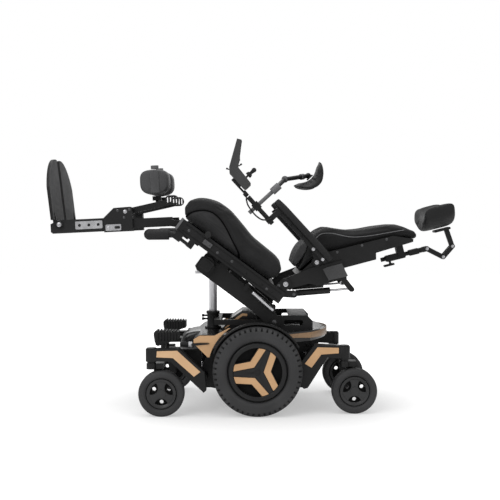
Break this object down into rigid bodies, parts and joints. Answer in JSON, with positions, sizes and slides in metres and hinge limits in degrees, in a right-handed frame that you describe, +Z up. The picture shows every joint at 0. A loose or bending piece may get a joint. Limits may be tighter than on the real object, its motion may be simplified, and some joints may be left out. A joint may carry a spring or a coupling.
{
  "type": "standing wheelchair",
  "caption": "Powered standing wheelchair with drive wheels, sprung casters, lift column, tilting and standing seat, reclining back, raised legs and joystick.",
  "frame": {"origin": "on the floor under the drive axle, midway between the drive wheels", "axes": "+X forwards, +Y to the chair's left, +Z up"},
  "size_m": [1.7021, 0.65, 1.0972],
  "materials": {
    "black_paint": "satin black powder coat",
    "shroud_plastic": "dark grey gloss moulding",
    "alloy_paint": "satin black powder coat on cast alloy",
    "bronze_paint": "satin copper-bronze paint",
    "tyre_rubber": "dark grey tyre rubber",
    "silver_metal": "bright drawn metal",
    "grey_plastic": "matt grey plastic",
    "black_plastic": "matt black plastic",
    "cover_fabric": "black woven stretch fabric",
    "pad_skin": "black padded skin"
  },
  "bodies": {
    "base": {"chassis_frame": "black_paint", "base_shroud": "shroud_plastic", "shroud_trim": "bronze_paint", "wheel_fenders": "black_plastic", "battery_pack": "grey_plastic", "power_module": "grey_plastic", "drive_motors": "alloy_paint", "seat_tower": "black_paint", "column_outer": "black_paint", "tie_down_eyes": "silver_metal"},
    "drive_wheel_left": {"drive_tyre_left": "tyre_rubber", "drive_hub_left": "alloy_paint"},
    "drive_wheel_right": {"drive_tyre_right": "tyre_rubber", "drive_hub_right": "alloy_paint"},
    "caster_arm_front_left": {"caster_arm_front_left": "alloy_paint"},
    "caster_swivel_front_left": {"caster_fork_front_left": "alloy_paint"},
    "caster_front_left": {"caster_wheel_front_left": "tyre_rubber"},
    "caster_arm_front_right": {"caster_arm_front_right": "alloy_paint"},
    "caster_swivel_front_right": {"caster_fork_front_right": "alloy_paint"},
    "caster_front_right": {"caster_wheel_front_right": "tyre_rubber"},
    "caster_arm_rear_left": {"caster_arm_rear_left": "alloy_paint"},
    "caster_swivel_rear_left": {"caster_fork_rear_left": "alloy_paint"},
    "caster_rear_left": {"caster_wheel_rear_left": "tyre_rubber"},
    "caster_arm_rear_right": {"caster_arm_rear_right": "alloy_paint"},
    "caster_swivel_rear_right": {"caster_fork_rear_right": "alloy_paint"},
    "caster_rear_right": {"caster_wheel_rear_right": "tyre_rubber"},
    "lamp_left": {"headlight_left": "black_plastic"},
    "lamp_right": {"headlight_right": "black_plastic"},
    "lift": {"lift_arm": "black_paint", "tilt_actuator": "silver_metal"},
    "column": {"column_inner": "silver_metal"},
    "seat": {"seat_rails": "black_paint", "seat_pan": "alloy_paint", "seat_cushion": "cover_fabric", "transfer_grips": "black_paint"},
    "back": {"back_shell": "alloy_paint", "back_cushion": "cover_fabric", "headrest_bracket": "alloy_paint"},
    "strut": {"recline_strut": "black_paint"},
    "strut_rod": {"recline_rod": "silver_metal"},
    "leg_upper": {"legrest_bars": "alloy_paint"},
    "leg_lower": {"legrest_carriage": "alloy_paint"},
    "foot_left": {"footplate_left": "alloy_paint"},
    "foot_right": {"footplate_right": "alloy_paint"},
    "knee_support": {"knee_arm": "alloy_paint", "knee_pads": "pad_skin"},
    "armrest_left": {"armrest_rail_left": "alloy_paint", "armrest_pad_left": "pad_skin", "control_cable": "black_plastic"},
    "armrest_right": {"armrest_rail_right": "alloy_paint", "armrest_pad_right": "pad_skin"},
    "joystick": {"joystick_mount": "black_plastic", "joystick_pod": "black_plastic"},
    "stick_ring": {"joystick_gimbal": "black_plastic"},
    "stick": {"joystick_knob": "black_plastic"},
    "chest_support": {"chest_arm": "alloy_paint", "chest_pad": "pad_skin"},
    "headrest_low": {"headrest_link_lower": "silver_metal"},
    "headrest_mid": {"headrest_link_upper": "alloy_paint"},
    "headrest": {"headrest_pad": "pad_skin"}
  },
  "joints": [
    {"name": "drive_left", "type": "hinge", "parent": "base", "child": "drive_wheel_left", "pos_m": [0, 0.287, 0.178], "axis": [0, 1, 0], "continuous": true},
    {"name": "drive_right", "type": "hinge", "parent": "base", "child": "drive_wheel_right", "pos_m": [0, -0.287, 0.178], "axis": [0, 1, 0], "continuous": true},
    {"name": "suspension_front_left", "type": "hinge", "parent": "base", "child": "caster_arm_front_left", "pos_m": [0.222, 0.2, 0.145], "axis": [0, -1, 0], "range_deg": [-4, 4], "stiffness_Nm_per_rad": 4000},
    {"name": "swivel_front_left", "type": "hinge", "parent": "caster_arm_front_left", "child": "caster_swivel_front_left", "pos_m": [0.421, 0.284, 0.2], "axis": [0, 0, 1], "continuous": true},
    {"name": "roll_front_left", "type": "hinge", "parent": "caster_swivel_front_left", "child": "caster_front_left", "pos_m": [0.381, 0.284, 0.091], "axis": [0, 1, 0], "continuous": true},
    {"name": "suspension_front_right", "type": "hinge", "parent": "base", "child": "caster_arm_front_right", "pos_m": [0.222, -0.2, 0.145], "axis": [0, -1, 0], "range_deg": [-4, 4], "stiffness_Nm_per_rad": 4000},
    {"name": "swivel_front_right", "type": "hinge", "parent": "caster_arm_front_right", "child": "caster_swivel_front_right", "pos_m": [0.421, -0.284, 0.2], "axis": [0, 0, 1], "continuous": true},
    {"name": "roll_front_right", "type": "hinge", "parent": "caster_swivel_front_right", "child": "caster_front_right", "pos_m": [0.381, -0.284, 0.091], "axis": [0, 1, 0], "continuous": true},
    {"name": "suspension_rear_left", "type": "hinge", "parent": "base", "child": "caster_arm_rear_left", "pos_m": [-0.186, 0.2, 0.15], "axis": [0, 1, 0], "range_deg": [-4, 4], "stiffness_Nm_per_rad": 4000},
    {"name": "swivel_rear_left", "type": "hinge", "parent": "caster_arm_rear_left", "child": "caster_swivel_rear_left", "pos_m": [-0.35, 0.227, 0.2], "axis": [0, 0, 1], "continuous": true},
    {"name": "roll_rear_left", "type": "hinge", "parent": "caster_swivel_rear_left", "child": "caster_rear_left", "pos_m": [-0.39, 0.227, 0.091], "axis": [0, 1, 0], "continuous": true},
    {"name": "suspension_rear_right", "type": "hinge", "parent": "base", "child": "caster_arm_rear_right", "pos_m": [-0.186, -0.2, 0.15], "axis": [0, 1, 0], "range_deg": [-4, 4], "stiffness_Nm_per_rad": 4000},
    {"name": "swivel_rear_right", "type": "hinge", "parent": "caster_arm_rear_right", "child": "caster_swivel_rear_right", "pos_m": [-0.35, -0.227, 0.2], "axis": [0, 0, 1], "continuous": true},
    {"name": "roll_rear_right", "type": "hinge", "parent": "caster_swivel_rear_right", "child": "caster_rear_right", "pos_m": [-0.39, -0.227, 0.091], "axis": [0, 1, 0], "continuous": true},
    {"name": "lamp_aim_left", "type": "hinge", "parent": "base", "child": "lamp_left", "pos_m": [0.365, 0.2, 0.286], "axis": [0, -1, 0], "range_deg": [-8, 8]},
    {"name": "lamp_aim_right", "type": "hinge", "parent": "base", "child": "lamp_right", "pos_m": [0.365, -0.2, 0.286], "axis": [0, -1, 0], "range_deg": [-8, 8]},
    {"name": "seat_lift", "type": "hinge", "parent": "base", "child": "lift", "pos_m": [-0.069, 0, 0.361], "axis": [0, -1, 0], "range_deg": [-36, 6]},
    {"name": "column_slide", "type": "slide", "parent": "base", "child": "column", "axis": [0, 0, 1], "range_m": [-0.161, 0.028]},
    {"name": "stand", "type": "hinge", "parent": "lift", "child": "seat", "pos_m": [0.20735, 0, 0.59626], "axis": [0, 1, 0], "range_deg": [0, 60]},
    {"name": "recline", "type": "hinge", "parent": "seat", "child": "back", "pos_m": [-0.11366, 0, 0.51977], "axis": [0, -1, 0], "range_deg": [-30, 20]},
    {"name": "strut_foot", "type": "hinge", "parent": "seat", "child": "strut", "pos_m": [-0.14707, 0, 0.4791], "axis": [0, -1, 0], "range_deg": [-33.5, 22.5]},
    {"name": "strut_top", "type": "hinge", "parent": "back", "child": "strut_rod", "pos_m": [-0.38189, 0, 0.49802], "axis": [0, -1, 0], "range_deg": [-3.2, 2.2]},
    {"name": "leg_lift", "type": "hinge", "parent": "seat", "child": "leg_upper", "pos_m": [0.30494, 0, 0.75902], "axis": [0, -1, 0], "range_deg": [-38, 30]},
    {"name": "leg_extend", "type": "slide", "parent": "leg_upper", "child": "leg_lower", "axis": [0.9989, 0, -0.0471], "range_m": [-0.081, 0.064]},
    {"name": "foot_fold_left", "type": "hinge", "parent": "leg_lower", "child": "foot_left", "pos_m": [0.80152, 0.2, 0.75963], "axis": [0, -1, 0], "range_deg": [0, 75]},
    {"name": "foot_fold_right", "type": "hinge", "parent": "leg_lower", "child": "foot_right", "pos_m": [0.80152, -0.2, 0.75963], "axis": [0, -1, 0], "range_deg": [0, 75]},
    {"name": "knee_swing", "type": "hinge", "parent": "leg_lower", "child": "knee_support", "pos_m": [0.5357, 0, 0.81221], "axis": [0, -1, 0], "range_deg": [-70, 0]},
    {"name": "armrest_flip_left", "type": "hinge", "parent": "back", "child": "armrest_left", "pos_m": [-0.23547, 0.25, 0.60992], "axis": [0, -1, 0], "range_deg": [0, 45]},
    {"name": "armrest_flip_right", "type": "hinge", "parent": "back", "child": "armrest_right", "pos_m": [-0.23547, -0.25, 0.60992], "axis": [0, -1, 0], "range_deg": [0, 45]},
    {"name": "joystick_swing", "type": "hinge", "parent": "armrest_left", "child": "joystick", "pos_m": [0.04853, 0.27, 0.88137], "axis": [-0.7373, 0, 0.6756], "range_deg": [0, 60]},
    {"name": "stick_forward", "type": "hinge", "parent": "joystick", "child": "stick_ring", "pos_m": [0.05601, 0.27, 0.9369], "axis": [0, 1, 0], "range_deg": [-18, 18], "stiffness_Nm_per_rad": 0.4},
    {"name": "stick_side", "type": "hinge", "parent": "stick_ring", "child": "stick", "pos_m": [0.05601, 0.27, 0.9369], "axis": [0.6756, 0, 0.7373], "range_deg": [-18, 18], "stiffness_Nm_per_rad": 0.4},
    {"name": "chest_swing", "type": "hinge", "parent": "armrest_left", "child": "chest_support", "pos_m": [-0.08306, 0.27, 0.91243], "axis": [-0.7373, 0, 0.6756], "range_deg": [0, 100]},
    {"name": "headrest_a", "type": "hinge", "parent": "back", "child": "headrest_low", "pos_m": [-0.72373, 0, 0.65642], "axis": [0, -1, 0], "range_deg": [-20, 20]},
    {"name": "headrest_b", "type": "hinge", "parent": "headrest_low", "child": "headrest_mid", "pos_m": [-0.79331, 0, 0.62121], "axis": [0, 1, 0], "range_deg": [-20, 10]},
    {"name": "headrest_c", "type": "hinge", "parent": "headrest_mid", "child": "headrest", "pos_m": [-0.83239, 0, 0.66702], "axis": [0, -1, 0], "range_deg": [-20, 20]}
  ],
  "couplings": [
    {"joint": "column_slide", "follows": "seat_lift", "m_per_rad": 0.2537},
    {"joint": "strut_foot", "follows": "recline", "ratio": 1.1},
    {"joint": "strut_top", "follows": "recline", "ratio": 0.1},
    {"joint": "leg_extend", "follows": "leg_lift", "m_per_rad": 0.1206}
  ]
}
